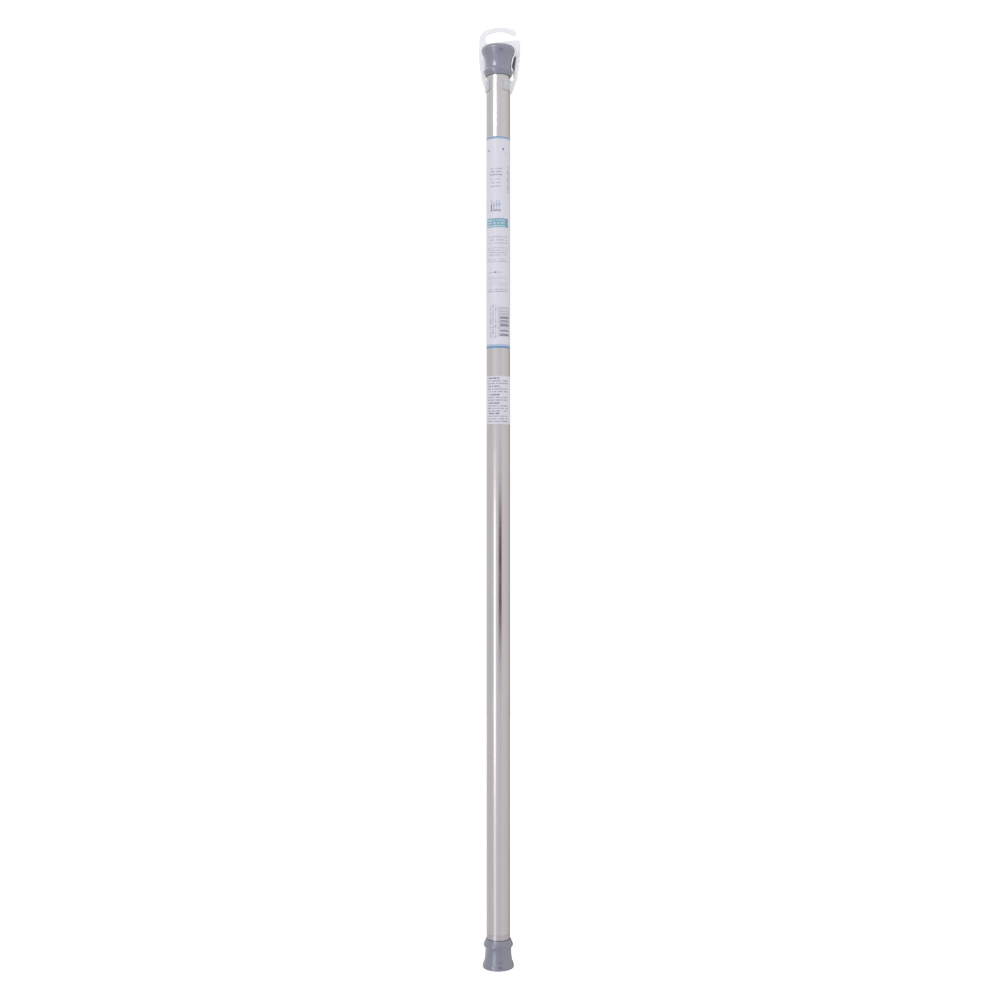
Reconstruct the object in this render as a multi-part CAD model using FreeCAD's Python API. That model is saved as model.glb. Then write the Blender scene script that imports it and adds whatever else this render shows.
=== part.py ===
import FreeCAD, Part
import math
import os

# Telescopic tension bar: two tubes, a twist lock and a sprung plunger inside them, soft feet on both ends,
# a wrap label, a sticker and a clip-on hanging hook.
# Millimetres. +Z runs up the bar, the origin is the centre of the lower foot's face, -Y is the front.
# The model is drawn closed, at its shortest length.

# Tubes
CLOSED_LENGTH = 1100.0
OUTER_TUBE_DIAMETER = 28.0
OUTER_TUBE_WALL = 0.5
INNER_TUBE_WALL = 0.5
TUBE_GAP = 1.0

# Clearances
END_GAP = 0.3
SLIDE_CLEARANCE = 0.1
TURN_CLEARANCE = 0.15
ROD_CLEARANCE = 0.15
SCREW_CLEARANCE = 0.15
HANGER_CLEARANCE = 0.1

# Soft end caps: walls outwards from the tube, heights from the foot face
CAP_FLOOR = 4.0
LOWER_CAP_HEIGHT = 35.0
LOWER_CAP_WALLS = {"foot": 6.3, "waist": 2.95, "bead": 5.2, "rim": 2.1}
LOWER_BEAD_BELOW_MOUTH = 7.7
LOWER_FOOT_CORNER = 1.2
UPPER_CAP_HEIGHT = 35.5
UPPER_CAP_WALLS = {"foot": 6.1, "waist": 1.6, "bead": 3.7, "rim": 1.0}
UPPER_BEAD_BELOW_MOUTH = 5.5
UPPER_FOOT_CORNER = 4.0
FOOT_BAND = 2.0
FOOT_SLOPE = 4.2
FOOT_STEP = 0.6
STEP_SHARE = 0.55
FLARE_SAG = 0.33
WAIST_BELOW_BEAD = 8.3
WAIST_HEIGHT = 4.5
BEAD_HALF_HEIGHT = 0.7
BEAD_CROWN = 0.2
TREAD_GROOVE_RADII = (6.0, 11.5)
TREAD_GROOVE_WIDTH = 1.4
TREAD_GROOVE_DEPTH = 0.6

# Hard plugs in the tube ends
PLUG_FLANGE = 2.0
PLUG_SPIGOT = 13.0
PLUG_WALL = 1.6
PLUG_RIB = 1.2

# Guide ferrule in the outer tube's open end
FERRULE_LIP = 6.0
FERRULE_INSERT = 18.0
FERRULE_LEAD_IN = 0.4

# Bush in the inner tube's inner end
BUSH_BODY = 24.0
BUSH_FLANGE = 2.0
BUSH_NECK = 10.0
BUSH_NECK_STEP = 1.5
RIVET_RADIUS = 1.6
RIVET_HEAD_RADIUS = 2.6
RIVET_HEAD_HEIGHT = 0.5
RIVET_DEPTH = 4.0
GUIDE_RING_GAP = 0.2
GUIDE_RING_SPLIT = 1.5

# Sprung plunger
ROD_FLATS = 8.0
ROD_END_RADIUS = 3.0
ROD_END_LENGTH = 9.0
ROD_BORE_RADIUS = 2.0
ROD_BORE_DEPTH = 14.0
WASHER_TUBE_GAP = 3.0
WASHER_THICKNESS = 2.0
NUT_FLATS = 10.0
NUT_HEIGHT = 5.0
SPRING_LENGTH = 51.0
SPRING_TURNS = 8.0
SPRING_WIRE_RADIUS = 1.0
SPRING_ROD_GAP = 3.0
SEAT_THICKNESS = 1.0
PLUNGER_TUBE_GAP = 1.2

# Twist lock
PARKING_GAP = 4.4
CAM_OFFSET = 1.0
TWIST_ANGLE = 45.0
CAM_LOCKED_GAP = 0.085
CAM_SPLIT = 2.0
JOURNAL_FLANGE = 3.0
JOURNAL_WALL = 1.9
JOURNAL_HEIGHT = 13.0
JOURNAL_SOCKET = 7.8
STOP_PEG_RADIUS = 1.2
STOP_PEG_HEIGHT = 2.0
END_PLATE_THICKNESS = 2.0
SCREW_HEAD_RADIUS = 3.8
SCREW_HEAD_HEIGHT = 2.6
SCREW_SLOT_WIDTH = 1.1
SCREW_SLOT_LENGTH = 4.6
SCREW_SLOT_DEPTH = 1.4

# Label and sticker
LABEL_BELOW_END = 109.2
LABEL_HEIGHT = 252.4
LABEL_THICKNESS = 0.15
STICKER_BELOW_LABEL = 32.5
STICKER_HEIGHT = 57.0
STICKER_THICKNESS = 0.15
STICKER_WRAP = 270.0

# Clip-on hanging hook: a flat plate behind the axis with a split collar
HANGER_YAW = -12.0
PLATE_THICKNESS = 1.6
PLATE_OFFSET = 7.0
COLLAR_WALL = 1.6
COLLAR_HEIGHT = 13.0
COLLAR_BELOW_CAP = 5.1
COLLAR_OPENING = 72.0
GUSSET_DROP = 1.0
GUSSET_EDGE = 0.6
HIP_RISE = 3.5
HIP_WIDTH = 7.6
HIP_ROUND = 12.0
ARM_GAP = 0.8
ARM_WIDTH = 4.3
ARM_TAPER_HEIGHT = 10.0
ARM_ROUND = 60.0
WINDOW_MARGIN = 1.2
WINDOW_FOOT_MARGIN = 1.5
WINDOW_GAP = 0.6
WINDOW_ROUND = 5.0
WINDOW_BEAD_RISE = 2.5
CROSSBAR_HEIGHT = 6.6
SHOULDER_RISE = 1.6
SHOULDER_ROUND = 3.5
HOOK_HEIGHT = 26.8
HOOK_CROWN_PLACE = 2.5
HOOK_CROWN_ROUND = 60.0
HOOK_BACK_DROP = 3.6
HOOK_BACK_LEAN = 0.6
HOOK_BACK_ROUND = 14.0
HOOK_FRONT_DROP = 5.6
HOOK_FRONT_ROUND = 7.0
HOOK_REACH = 19.8
HOOK_TIP_HEIGHT = 14.8
HOOK_TIP_SLANT = 1.2
HOOK_TIP_ROUND = 1.6
HOOK_BAND = 4.8
HOOK_TIP_BAND = 3.9
HOOK_BACK_BAND = 7.2
HOOK_HEEL_ROUND = 5.5

OUTER_RADIUS = OUTER_TUBE_DIAMETER / 2
OUTER_BORE = OUTER_RADIUS - OUTER_TUBE_WALL
INNER_RADIUS = OUTER_BORE - TUBE_GAP
INNER_BORE = INNER_RADIUS - INNER_TUBE_WALL
NECK_RADIUS = INNER_RADIUS - BUSH_NECK_STEP
ROD_CORNER = ROD_FLATS / math.sqrt(3)
PLUNGER_RADIUS = OUTER_BORE - PLUNGER_TUBE_GAP
JOURNAL_RADIUS = ROD_CORNER + CAM_OFFSET + JOURNAL_WALL
JOURNAL_BEARING = JOURNAL_RADIUS + TURN_CLEARANCE
CAM_THROW = 2 * CAM_OFFSET * math.sin(math.radians(TWIST_ANGLE / 2))
CAM_RADIUS = OUTER_BORE - CAM_THROW - CAM_LOCKED_GAP
STOP_PEG_ORBIT = (JOURNAL_BEARING + CAM_RADIUS + CAM_OFFSET) / 2

# Heights at the bottom, stacked upwards from the lower foot face
LOWER_SEAT = CAP_FLOOR + PLUG_FLANGE
FERRULE_BOTTOM = LOWER_CAP_HEIGHT + END_GAP
OUTER_TUBE_BOTTOM = FERRULE_BOTTOM + FERRULE_LIP

# Heights at the top, stacked downwards from the upper foot face
UPPER_SEAT = CLOSED_LENGTH - CAP_FLOOR - PLUG_FLANGE
SCREW_TOP = UPPER_SEAT - PLUG_SPIGOT - PARKING_GAP
PLATE_TOP = SCREW_TOP - SCREW_HEAD_HEIGHT
JOURNAL_TOP = PLATE_TOP - END_PLATE_THICKNESS
FLANGE_TOP = JOURNAL_TOP - JOURNAL_HEIGHT
JOURNAL_BOTTOM = FLANGE_TOP - JOURNAL_FLANGE
ROD_TOP = JOURNAL_BOTTOM + JOURNAL_SOCKET
SEAT_BOTTOM = JOURNAL_BOTTOM - SEAT_THICKNESS
BUSH_TOP = SEAT_BOTTOM - SPRING_LENGTH
NECK_TOP = BUSH_TOP - BUSH_FLANGE
NECK_BOTTOM = NECK_TOP - BUSH_NECK
INNER_TUBE_TOP = NECK_BOTTOM - BUSH_FLANGE
BUSH_BOTTOM = INNER_TUBE_TOP - BUSH_BODY
ROD_SHOULDER = BUSH_BOTTOM - END_GAP
COLLAR_TOP = CLOSED_LENGTH - UPPER_CAP_HEIGHT - COLLAR_BELOW_CAP
LABEL_BOTTOM = CLOSED_LENGTH - LABEL_BELOW_END - LABEL_HEIGHT
STICKER_BOTTOM = LABEL_BOTTOM - STICKER_BELOW_LABEL - STICKER_HEIGHT

AXIS = FreeCAD.Vector(0, 0, 1)
BEYOND = 1.0
ROUND_SHARE = 0.48


def at(x, y, z):
    return FreeCAD.Vector(x, y, z)


def cylinder(radius, low, high, x=0.0, y=0.0):
    return Part.makeCylinder(radius, high - low, at(x, y, low), AXIS)


def ring(outer, inner, low, high):
    return cylinder(outer, low, high).cut(cylinder(inner, low - BEYOND, high + BEYOND))


def box(x_low, x_high, y_low, y_high, z_low, z_high):
    return Part.makeBox(x_high - x_low, y_high - y_low, z_high - z_low, at(x_low, y_low, z_low))


def hexagon(across_flats, low, high):
    corner_radius = across_flats / math.sqrt(3)
    corners = []
    for corner in range(7):
        turn = math.radians(60 * corner)
        corners.append(at(corner_radius * math.cos(turn), corner_radius * math.sin(turn), low))
    return Part.Face(Part.makePolygon(corners)).extrude(at(0, 0, high - low))


def line(start, end):
    return Part.LineSegment(start, end).toShape()


def arc(start, middle, end):
    return Part.Arc(start, middle, end).toShape()


def spun(edges, angle=360.0):
    return Part.Face(Part.Wire(edges)).revolve(at(0, 0, 0), AXIS, angle)


def profile_point(radius, height):
    return at(radius, 0, height)


def end_cap(bore, walls, height, bead_below_mouth, foot_corner):
    """One soft cap with its foot face at height 0 and its mouth upwards."""
    foot = bore + walls["foot"]
    waist = bore + walls["waist"]
    bead = bore + walls["bead"]
    rim = bore + walls["rim"]
    step = waist + (foot - waist) * STEP_SHARE
    neck = step - FOOT_STEP
    band_top = foot_corner + FOOT_BAND
    step_height = band_top + FOOT_SLOPE
    neck_height = step_height + FOOT_STEP
    sag = foot_corner * (1 - math.sqrt(0.5))
    bead_height = height - bead_below_mouth
    bead_low = bead_height - BEAD_HALF_HEIGHT
    bead_high = bead_height + BEAD_HALF_HEIGHT
    waist_bottom = bead_height - WAIST_BELOW_BEAD
    waist_top = waist_bottom + WAIST_HEIGHT
    p = profile_point
    edges = [
        line(p(0, 0), p(foot - foot_corner, 0)),
        arc(p(foot - foot_corner, 0), p(foot - sag, sag), p(foot, foot_corner)),
        line(p(foot, foot_corner), p(foot, band_top)),
        line(p(foot, band_top), p(step, step_height)),
        line(p(step, step_height), p(neck, neck_height)),
        arc(
            p(neck, neck_height),
            p(waist + (neck - waist) * FLARE_SAG, (neck_height + waist_bottom) / 2),
            p(waist, waist_bottom),
        ),
        line(p(waist, waist_bottom), p(waist, waist_top)),
        arc(
            p(waist, waist_top),
            p(waist + (bead - waist) * FLARE_SAG, (waist_top + bead_low) / 2),
            p(bead, bead_low),
        ),
        arc(p(bead, bead_low), p(bead + BEAD_CROWN, bead_height), p(bead, bead_high)),
        line(p(bead, bead_high), p(rim, height)),
        line(p(rim, height), p(bore, height)),
        line(p(bore, height), p(bore, CAP_FLOOR)),
        line(p(bore, CAP_FLOOR), p(0, CAP_FLOOR)),
        line(p(0, CAP_FLOOR), p(0, 0)),
    ]
    cap = spun(edges)
    for radius in TREAD_GROOVE_RADII:
        half = TREAD_GROOVE_WIDTH / 2
        cap = cap.cut(ring(radius + half, radius - half, -BEYOND, TREAD_GROOVE_DEPTH))
    return cap


def turned_over(shape, height):
    """The shape upside down, with what was at height 0 at the given height."""
    flipped = shape.copy()
    flipped.rotate(at(0, 0, 0), at(1, 0, 0), 180)
    flipped.translate(at(0, 0, height))
    return flipped


def tube_plug(tube_radius, bore):
    """Hard plug with its flange's outside face at height 0 and its ribbed spigot upwards."""
    top = PLUG_FLANGE + PLUG_SPIGOT
    plug = cylinder(tube_radius, 0, PLUG_FLANGE)
    plug = plug.fuse(ring(bore, bore - PLUG_WALL, PLUG_FLANGE, top))
    reach = bore - PLUG_WALL / 2
    half = PLUG_RIB / 2
    for rib in (
        box(-reach, reach, -half, half, PLUG_FLANGE, top),
        box(-half, half, -reach, reach, PLUG_FLANGE, top),
    ):
        plug = plug.fuse(rib)
    return plug.removeSplitter()


def rivet_places():
    """Heights and sides of the two rivets that hold the bush."""
    return [(side, BUSH_BOTTOM + BUSH_BODY / 2) for side in (1, -1)]


def sideways_cylinder(side, radius, reach, height):
    return Part.makeCylinder(radius, reach, at(0, 0, height), at(side, 0, 0))


def rivet_bores():
    bores = []
    for side, height in rivet_places():
        bore = sideways_cylinder(side, RIVET_RADIUS, INNER_RADIUS + BEYOND, height)
        bores.append(bore.cut(cylinder(INNER_BORE - RIVET_DEPTH, BUSH_BOTTOM, INNER_TUBE_TOP)))
    return bores


def outer_tube():
    return ring(OUTER_RADIUS, OUTER_BORE, OUTER_TUBE_BOTTOM, UPPER_SEAT)


def tube_ferrule():
    bore = INNER_RADIUS + SLIDE_CLEARANCE
    top = OUTER_TUBE_BOTTOM + FERRULE_INSERT
    p = profile_point
    corners = [
        p(bore + FERRULE_LEAD_IN, FERRULE_BOTTOM),
        p(OUTER_RADIUS, FERRULE_BOTTOM),
        p(OUTER_RADIUS, OUTER_TUBE_BOTTOM),
        p(OUTER_BORE, OUTER_TUBE_BOTTOM),
        p(OUTER_BORE, top),
        p(bore, top),
        p(bore, FERRULE_BOTTOM + FERRULE_LEAD_IN),
    ]
    corners.append(corners[0])
    return spun(Part.makePolygon(corners).Edges)


def upper_end_cap():
    return turned_over(
        end_cap(OUTER_RADIUS, UPPER_CAP_WALLS, UPPER_CAP_HEIGHT, UPPER_BEAD_BELOW_MOUTH, UPPER_FOOT_CORNER),
        CLOSED_LENGTH,
    )


def upper_tube_plug():
    return turned_over(tube_plug(OUTER_RADIUS, OUTER_BORE), CLOSED_LENGTH - CAP_FLOOR)


def product_label():
    return ring(OUTER_RADIUS + LABEL_THICKNESS, OUTER_RADIUS, LABEL_BOTTOM, LABEL_BOTTOM + LABEL_HEIGHT)


def info_sticker():
    outside = OUTER_RADIUS + STICKER_THICKNESS
    top = STICKER_BOTTOM + STICKER_HEIGHT
    p = profile_point
    section = [
        p(OUTER_RADIUS, STICKER_BOTTOM),
        p(outside, STICKER_BOTTOM),
        p(outside, top),
        p(OUTER_RADIUS, top),
    ]
    section.append(section[0])
    sticker = spun(Part.makePolygon(section).Edges, STICKER_WRAP)
    sticker.rotate(at(0, 0, 0), AXIS, -90 - STICKER_WRAP / 2)
    return sticker


def inner_tube():
    tube = ring(INNER_RADIUS, INNER_BORE, LOWER_SEAT, INNER_TUBE_TOP)
    for bore in rivet_bores():
        tube = tube.cut(bore)
    return tube


def lower_end_cap():
    return end_cap(
        INNER_RADIUS, LOWER_CAP_WALLS, LOWER_CAP_HEIGHT, LOWER_BEAD_BELOW_MOUTH, LOWER_FOOT_CORNER
    )


def lower_tube_plug():
    plug = tube_plug(INNER_RADIUS, INNER_BORE)
    plug.translate(at(0, 0, CAP_FLOOR))
    return plug


def spring_bush():
    bush = cylinder(INNER_BORE, BUSH_BOTTOM, INNER_TUBE_TOP)
    bush = bush.fuse(cylinder(INNER_RADIUS, INNER_TUBE_TOP, NECK_BOTTOM))
    bush = bush.fuse(cylinder(NECK_RADIUS, NECK_BOTTOM, NECK_TOP))
    bush = bush.fuse(cylinder(INNER_RADIUS, NECK_TOP, BUSH_TOP))
    bush = bush.cut(hexagon(ROD_FLATS + 2 * ROD_CLEARANCE, BUSH_BOTTOM - BEYOND, BUSH_TOP + BEYOND))
    for bore in rivet_bores():
        bush = bush.cut(bore)
    return bush


def bush_rivets():
    rivets = []
    for side, height in rivet_places():
        shank = sideways_cylinder(side, RIVET_RADIUS, INNER_RADIUS + BEYOND, height)
        shank = shank.cut(cylinder(INNER_BORE - RIVET_DEPTH, BUSH_BOTTOM, INNER_TUBE_TOP))
        shank = shank.common(cylinder(INNER_RADIUS + RIVET_HEAD_HEIGHT / 2, BUSH_BOTTOM, INNER_TUBE_TOP))
        head = sideways_cylinder(side, RIVET_HEAD_RADIUS, INNER_RADIUS + BEYOND, height)
        head = head.common(cylinder(INNER_RADIUS + RIVET_HEAD_HEIGHT, BUSH_BOTTOM, INNER_TUBE_TOP))
        head = head.cut(cylinder(INNER_RADIUS, BUSH_BOTTOM, INNER_TUBE_TOP))
        rivets.append(head.fuse(shank).removeSplitter().Solids[0])
    return Part.makeCompound(rivets)


def guide_ring():
    outside = OUTER_BORE - GUIDE_RING_GAP
    ring_solid = ring(outside, NECK_RADIUS + TURN_CLEARANCE, NECK_BOTTOM + END_GAP, NECK_TOP - END_GAP)
    half = GUIDE_RING_SPLIT / 2
    return ring_solid.cut(box(-half, half, 0, outside + BEYOND, NECK_BOTTOM, NECK_TOP))


def compression_spring():
    """Coil spring with ends ground flat between the bush and the seat."""
    mean_radius = ROD_CORNER + SPRING_ROD_GAP + SPRING_WIRE_RADIUS
    pitch = SPRING_LENGTH / SPRING_TURNS
    path = Part.makeHelix(pitch, SPRING_LENGTH + pitch, mean_radius)
    path.translate(at(0, 0, BUSH_TOP - pitch / 2))
    start = at(mean_radius, 0, BUSH_TOP - pitch / 2)
    section = Part.Wire([Part.makeCircle(SPRING_WIRE_RADIUS, start, at(0, 1, 0))])
    coil = Part.Wire(path.Edges).makePipeShell([section], True, True)
    reach = mean_radius + SPRING_WIRE_RADIUS + BEYOND
    return coil.common(cylinder(reach, BUSH_TOP, SEAT_BOTTOM)).Solids[0]


def spring_seat():
    return ring(PLUNGER_RADIUS, ROD_CORNER + ROD_CLEARANCE, SEAT_BOTTOM, JOURNAL_BOTTOM)


def plunger_rod():
    rod = hexagon(ROD_FLATS, ROD_SHOULDER, ROD_TOP)
    rod = rod.fuse(cylinder(ROD_END_RADIUS, ROD_SHOULDER - ROD_END_LENGTH, ROD_SHOULDER))
    return rod.cut(cylinder(ROD_BORE_RADIUS, ROD_TOP - ROD_BORE_DEPTH, ROD_TOP + BEYOND))


def rod_washer():
    outside = INNER_BORE - WASHER_TUBE_GAP
    return ring(outside, ROD_END_RADIUS, ROD_SHOULDER - WASHER_THICKNESS, ROD_SHOULDER)


def rod_nut():
    top = ROD_SHOULDER - WASHER_THICKNESS
    nut = hexagon(NUT_FLATS, top - NUT_HEIGHT, top)
    return nut.cut(cylinder(ROD_END_RADIUS, top - NUT_HEIGHT - BEYOND, top + BEYOND))


def peg_angle():
    """The stop peg's direction from the journal's centre, half the twist short of the thick side."""
    return math.radians(180 - TWIST_ANGLE / 2)


def cam_journal():
    journal = cylinder(PLUNGER_RADIUS, JOURNAL_BOTTOM, FLANGE_TOP)
    journal = journal.fuse(cylinder(JOURNAL_RADIUS, FLANGE_TOP, JOURNAL_TOP, CAM_OFFSET))
    peg_x = CAM_OFFSET + STOP_PEG_ORBIT * math.cos(peg_angle())
    peg_y = STOP_PEG_ORBIT * math.sin(peg_angle())
    journal = journal.fuse(cylinder(STOP_PEG_RADIUS, FLANGE_TOP, FLANGE_TOP + STOP_PEG_HEIGHT, peg_x, peg_y))
    journal = journal.cut(hexagon(ROD_FLATS, JOURNAL_BOTTOM - BEYOND, ROD_TOP))
    return journal.cut(cylinder(ROD_BORE_RADIUS + SCREW_CLEARANCE, ROD_TOP, JOURNAL_TOP + BEYOND))


def cam_ring():
    """Eccentric split ring: its bore turns on the journal, its outside is true to the tube when released."""
    low = FLANGE_TOP + END_GAP
    high = JOURNAL_TOP - END_GAP
    cam = cylinder(CAM_RADIUS, low, high)
    cam = cam.cut(cylinder(JOURNAL_BEARING, low - BEYOND, high + BEYOND, CAM_OFFSET))
    half = CAM_SPLIT / 2
    cam = cam.cut(box(0, CAM_RADIUS + BEYOND, -half, half, low - BEYOND, high + BEYOND))
    slot_half = STOP_PEG_RADIUS + TURN_CLEARANCE
    slot_top = FLANGE_TOP + STOP_PEG_HEIGHT + END_GAP
    return cam.cut(peg_slot(slot_half, low - BEYOND, slot_top))


def peg_slot(half_width, low, high):
    """Curved slot about the journal's centre, as long as the twist, for the stop peg."""
    start = peg_angle()
    end = start + math.radians(TWIST_ANGLE)
    slot = ring_sector(STOP_PEG_ORBIT + half_width, STOP_PEG_ORBIT - half_width, low, high, start)
    for angle in (start, end):
        x = STOP_PEG_ORBIT * math.cos(angle)
        y = STOP_PEG_ORBIT * math.sin(angle)
        slot = slot.fuse(cylinder(half_width, low, high, x, y))
    slot.translate(at(CAM_OFFSET, 0, 0))
    return slot


def ring_sector(outer, inner, low, high, start):
    """Part of a ring from the start angle round to the end of the twist."""
    p = profile_point
    section = [p(inner, low), p(outer, low), p(outer, high), p(inner, high), p(inner, low)]
    sector = spun(Part.makePolygon(section).Edges, TWIST_ANGLE)
    sector.rotate(at(0, 0, 0), AXIS, math.degrees(start))
    return sector


def cam_end_plate():
    return ring(PLUNGER_RADIUS, ROD_BORE_RADIUS + SCREW_CLEARANCE, JOURNAL_TOP, PLATE_TOP)


def cam_screw():
    head = cylinder(SCREW_HEAD_RADIUS, PLATE_TOP, SCREW_TOP)
    top_edges = [edge for edge in head.Edges if edge.BoundBox.ZMin > PLATE_TOP]
    head = head.makeFillet(SCREW_HEAD_HEIGHT / 2, top_edges)
    screw = head.fuse(cylinder(ROD_BORE_RADIUS, ROD_TOP - ROD_BORE_DEPTH, PLATE_TOP))
    long_half = SCREW_SLOT_LENGTH / 2
    half = SCREW_SLOT_WIDTH / 2
    floor = SCREW_TOP - SCREW_SLOT_DEPTH
    for slot in (
        box(-long_half, long_half, -half, half, floor, SCREW_TOP + BEYOND),
        box(-half, half, -long_half, long_half, floor, SCREW_TOP + BEYOND),
    ):
        screw = screw.cut(slot)
    return screw


def rounded_plate(corners):
    """A plate on the hanger's plane, from (across, height, corner radius) corners and straight sides."""
    points = [at(across, 0, height) for across, height, _ in corners]
    edges = []
    ends = []
    for index, (_, _, radius) in enumerate(corners):
        here = points[index]
        back = points[index - 1] - here
        onward = points[(index + 1) % len(points)] - here
        half_angle = back.getAngle(onward) / 2
        longest_setback = ROUND_SHARE * min(back.Length, onward.Length)
        setback = min(radius / math.tan(half_angle), longest_setback)
        fitted_radius = setback * math.tan(half_angle)
        back.normalize()
        onward.normalize()
        inwards = (back + onward).normalize()
        middle = here + inwards * (fitted_radius / math.sin(half_angle) - fitted_radius)
        start = here + back * setback
        end = here + onward * setback
        edges.append(arc(start, middle, end))
        ends.append((start, end))
    for index, (start, _) in enumerate(ends):
        edges.append(line(ends[index - 1][1], start))
    plate = Part.Face(Part.Wire(Part.__sortEdges__(edges))).extrude(at(0, PLATE_THICKNESS, 0))
    plate.translate(at(0, PLATE_OFFSET - PLATE_THICKNESS / 2, 0))
    return plate


def arm_place():
    """How far the arms' outside edges stand from the axis."""
    return OUTER_RADIUS + UPPER_CAP_WALLS["foot"] + ARM_GAP + ARM_WIDTH


def hanger_plate():
    """Gussets, arms, shoulders and the open hook, clockwise from the left gusset's foot."""
    gusset_foot = COLLAR_TOP - COLLAR_HEIGHT - GUSSET_DROP
    gusset = OUTER_RADIUS + GUSSET_EDGE
    hip = OUTER_RADIUS + HIP_WIDTH
    hip_height = COLLAR_TOP + HIP_RISE
    arm = arm_place()
    arm_height = CLOSED_LENGTH - ARM_TAPER_HEIGHT
    bar = CLOSED_LENGTH + WINDOW_MARGIN + CROSSBAR_HEIGHT
    crown = CLOSED_LENGTH + HOOK_HEIGHT
    tip = CLOSED_LENGTH + HOOK_TIP_HEIGHT
    tip_inside = HOOK_REACH - HOOK_TIP_BAND
    back_inside = arm - HOOK_BACK_BAND
    return rounded_plate([
        (-gusset, gusset_foot, GUSSET_EDGE),
        (-hip, hip_height, HIP_ROUND),
        (-arm, arm_height, ARM_ROUND),
        (-arm + HOOK_BACK_LEAN, crown - HOOK_BACK_DROP, HOOK_BACK_ROUND),
        (HOOK_CROWN_PLACE, crown, HOOK_CROWN_ROUND),
        (HOOK_REACH, crown - HOOK_FRONT_DROP, HOOK_FRONT_ROUND),
        (HOOK_REACH, tip, HOOK_TIP_ROUND),
        (tip_inside, tip + HOOK_TIP_SLANT, HOOK_TIP_ROUND),
        (HOOK_CROWN_PLACE, crown - HOOK_BAND, HOOK_CROWN_ROUND - HOOK_BAND),
        (-back_inside, crown - HOOK_BACK_DROP - HOOK_BAND, HOOK_BACK_ROUND - HOOK_BAND),
        (-back_inside, bar, HOOK_HEEL_ROUND),
        (arm, bar + SHOULDER_RISE, SHOULDER_ROUND),
        (arm, arm_height, ARM_ROUND),
        (hip, hip_height, HIP_ROUND),
        (gusset, gusset_foot, GUSSET_EDGE),
    ])


def window_half(wall):
    """Half the window's width where the cap has this wall, for an even gap between the plate and the cap."""
    reach = OUTER_RADIUS + wall + WINDOW_GAP
    plate_front = PLATE_OFFSET - PLATE_THICKNESS / 2
    return math.sqrt(reach**2 - plate_front**2)


def hanger_window():
    """The gap in the plate that the cap stands in, with its sides following the cap."""
    bottom = COLLAR_TOP + WINDOW_FOOT_MARGIN
    bead = CLOSED_LENGTH - UPPER_CAP_HEIGHT + UPPER_BEAD_BELOW_MOUTH
    band = CLOSED_LENGTH - UPPER_FOOT_CORNER - FOOT_BAND
    foot = UPPER_CAP_WALLS["foot"]
    waist = UPPER_CAP_WALLS["waist"]
    foot_half = window_half(foot)
    step_half = window_half(waist + (foot - waist) * STEP_SHARE)
    waist_half = window_half(waist)
    bead_half = window_half(UPPER_CAP_WALLS["bead"])
    side = [
        (bead_half, bottom, WINDOW_FOOT_MARGIN),
        (bead_half, bead + WINDOW_BEAD_RISE, WINDOW_ROUND),
        (waist_half, bead + WAIST_BELOW_BEAD, WINDOW_ROUND),
        (step_half, band - FOOT_SLOPE, WINDOW_ROUND),
        (foot_half, band, WINDOW_ROUND),
        (foot_half, CLOSED_LENGTH + WINDOW_MARGIN, WINDOW_ROUND),
    ]
    other_side = [(-across, height, corner) for across, height, corner in reversed(side)]
    return rounded_plate(side + other_side)


def hanger():
    inside = OUTER_RADIUS + HANGER_CLEARANCE
    outside = inside + COLLAR_WALL
    bottom = COLLAR_TOP - COLLAR_HEIGHT
    plate = hanger_plate().cut(hanger_window())
    collar = cylinder(outside, bottom, COLLAR_TOP)
    clip = plate.fuse(collar).cut(cylinder(inside, bottom - GUSSET_DROP - BEYOND, COLLAR_TOP + HIP_RISE))
    mouth = spun(Part.makePolygon([
        profile_point(0, bottom - BEYOND),
        profile_point(outside + BEYOND, bottom - BEYOND),
        profile_point(outside + BEYOND, COLLAR_TOP + BEYOND),
        profile_point(0, COLLAR_TOP + BEYOND),
        profile_point(0, bottom - BEYOND),
    ]).Edges, COLLAR_OPENING)
    mouth.rotate(at(0, 0, 0), AXIS, -90 - COLLAR_OPENING / 2)
    clip = clip.cut(mouth).removeSplitter()
    clip.rotate(at(0, 0, 0), AXIS, HANGER_YAW)
    return clip


SUBPARTS = {
    "outer_tube": outer_tube,
    "tube_ferrule": tube_ferrule,
    "upper_end_cap": upper_end_cap,
    "upper_tube_plug": upper_tube_plug,
    "product_label": product_label,
    "info_sticker": info_sticker,
    "hanger": hanger,
    "guide_ring": guide_ring,
    "inner_tube": inner_tube,
    "lower_end_cap": lower_end_cap,
    "lower_tube_plug": lower_tube_plug,
    "spring_bush": spring_bush,
    "bush_rivets": bush_rivets,
    "compression_spring": compression_spring,
    "spring_seat": spring_seat,
    "plunger_rod": plunger_rod,
    "rod_washer": rod_washer,
    "rod_nut": rod_nut,
    "cam_journal": cam_journal,
    "cam_ring": cam_ring,
    "cam_end_plate": cam_end_plate,
    "cam_screw": cam_screw,
}

os.makedirs("parts", exist_ok=True)
for name, make in SUBPARTS.items():
    shape = make()
    if not shape.isValid():
        raise ValueError(name + " is not a valid solid")
    shape.exportStep(os.path.join("parts", name + ".step"))
    print(name, len(shape.Solids), "solid(s)", round(shape.Volume / 1000, 3), "cm3")
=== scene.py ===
import math

import bmesh
import bpy
from mathutils import Matrix, Vector


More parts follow.
